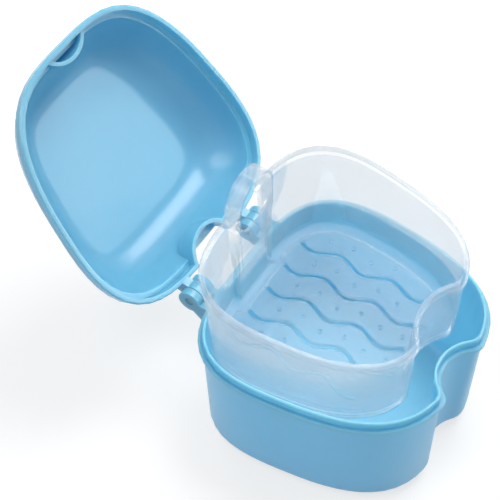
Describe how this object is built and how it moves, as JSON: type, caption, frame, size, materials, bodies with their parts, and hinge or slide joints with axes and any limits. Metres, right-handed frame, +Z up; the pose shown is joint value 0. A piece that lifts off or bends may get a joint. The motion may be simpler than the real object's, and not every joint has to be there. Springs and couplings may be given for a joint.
{
  "type": "denture case",
  "caption": "Small plastic case with a hinged domed lid, a deep cup with a front finger notch, and a lift-out strainer basket with a hoop handle.",
  "frame": {"origin": "middle of the flat face the base stands on", "axes": "+Z up, -Y to the front with the finger notch, +Y to the hinge"},
  "size_m": [0.0918, 0.1609, 0.1158],
  "materials": {
    "base_blue": "satin light blue polypropylene",
    "lid_blue": "satin light blue polypropylene",
    "pin_blue": "satin light blue polypropylene",
    "basket_frosted": "frosted translucent polypropylene"
  },
  "bodies": {
    "base": {"base_cup": "base_blue", "hinge_pin_left": "pin_blue", "hinge_pin_right": "pin_blue"},
    "lid": {"lid": "lid_blue"},
    "basket": {"strainer_basket": "basket_frosted"}
  },
  "joints": [
    {"name": "lid_hinge", "type": "hinge", "parent": "base", "child": "lid", "pos_m": [0, 0.0493, 0.045], "axis": [1, 0, 0], "range_deg": [0, 130.3]},
    {"name": "basket_drop", "type": "slide", "parent": "base", "child": "basket", "axis": [0, -0.1724, -0.985], "range_m": [0, 0.03655]}
  ],
  "couplings": [
    {"joint": "basket_drop", "follows": "lid_hinge", "m_per_rad": 0.01607}
  ]
}
